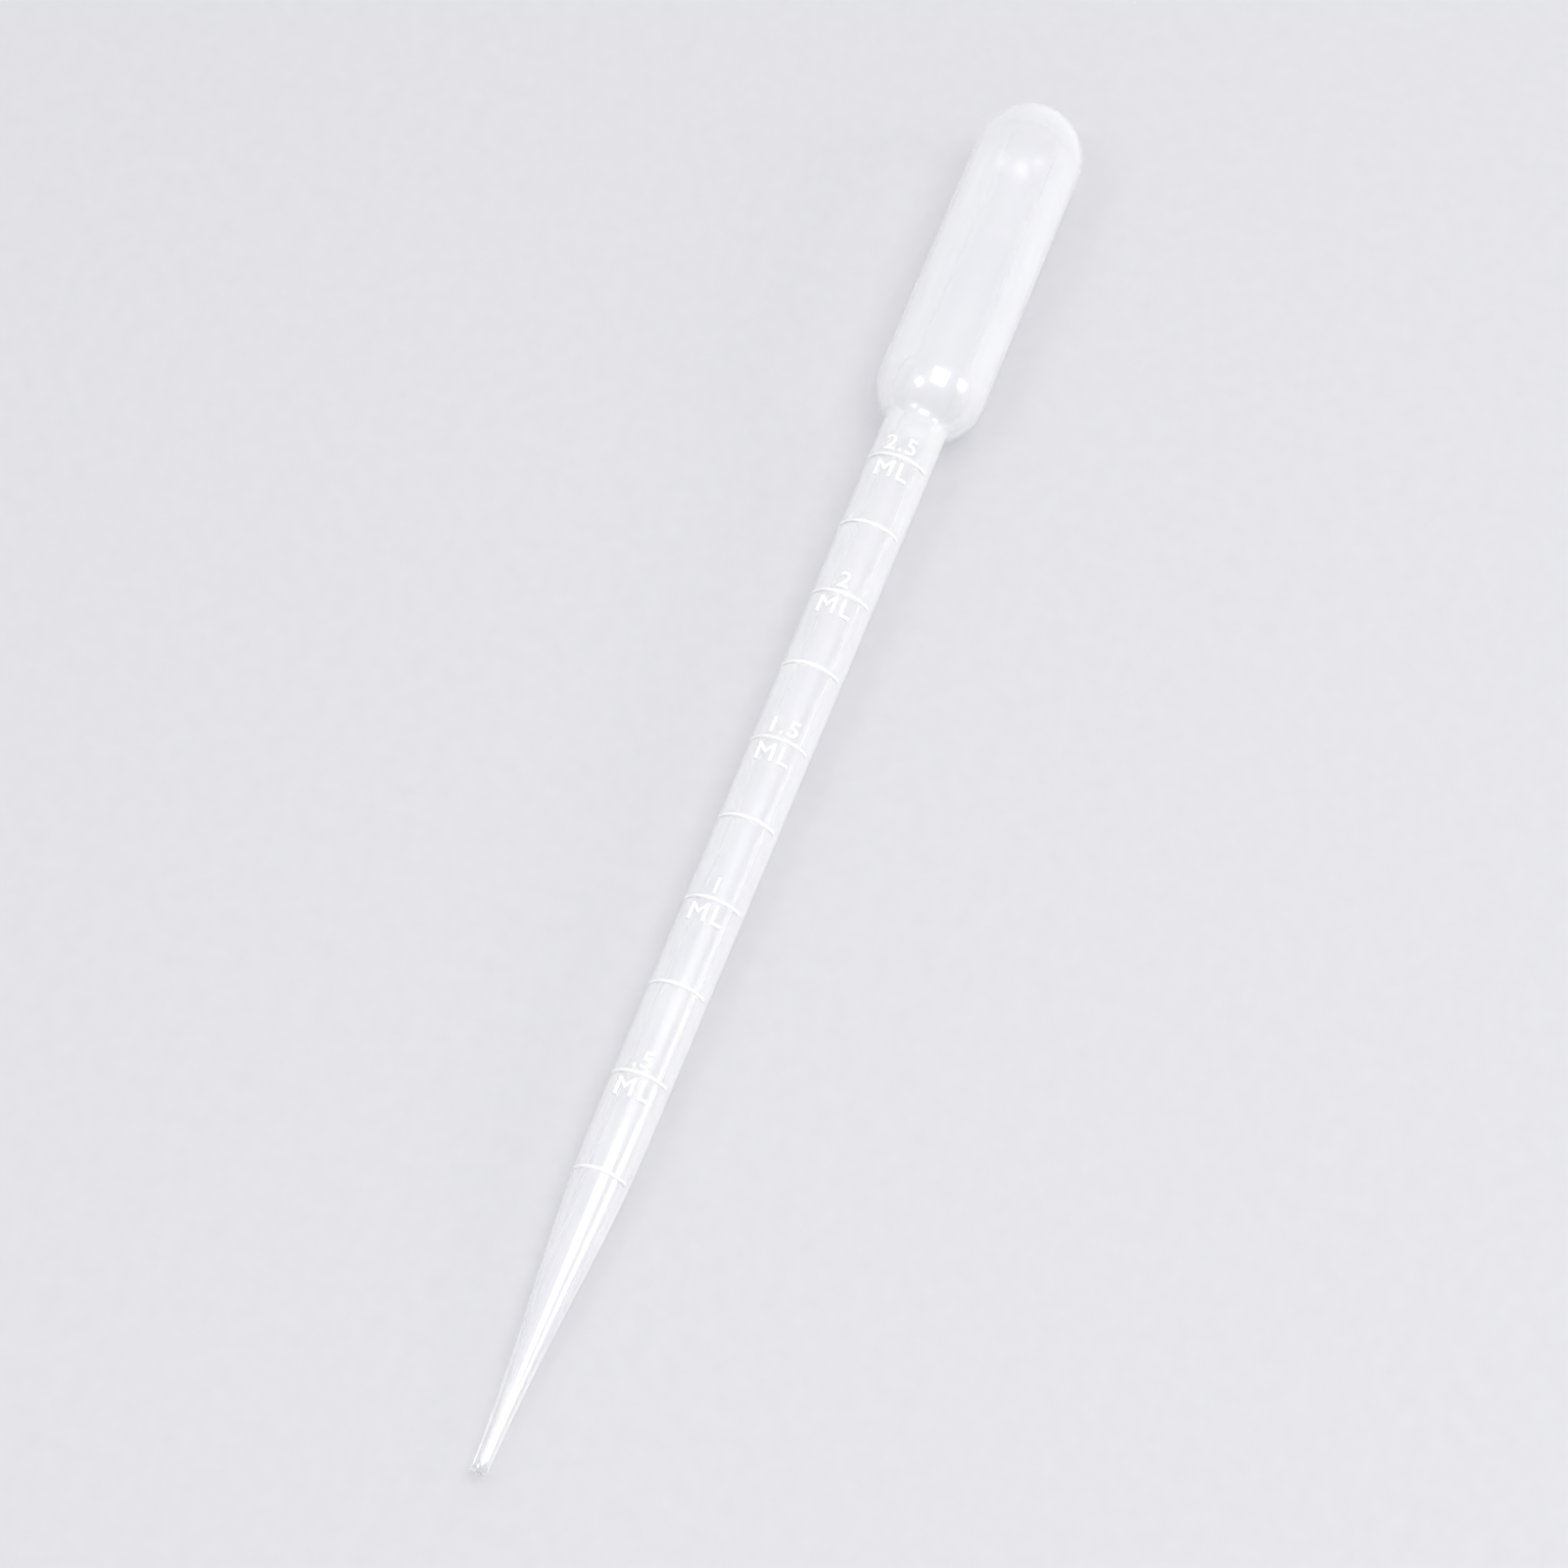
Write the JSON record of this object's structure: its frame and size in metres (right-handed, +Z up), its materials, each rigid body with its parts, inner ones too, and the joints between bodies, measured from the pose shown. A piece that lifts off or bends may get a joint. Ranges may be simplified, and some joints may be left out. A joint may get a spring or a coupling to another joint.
{
  "type": "plastic dropper pipette",
  "caption": "One-piece soft plastic dropper with a round-ended squeeze bulb, a graduated stem and a drawn-out fine nozzle.",
  "frame": {"origin": "on the surface that the pipette lies on, under the centre of its bounding box", "axes": "+Z up from that surface; +X along the pipette from the nozzle tip to the bulb, level; the raised scale faces +Z"},
  "size_m": [0.165, 0.0116, 0.0126],
  "materials": {
    "natural_polyethylene": "smooth, milky translucent, satin gloss"
  },
  "bodies": {
    "root": {"pipette": "natural_polyethylene"}
  },
  "joints": []
}
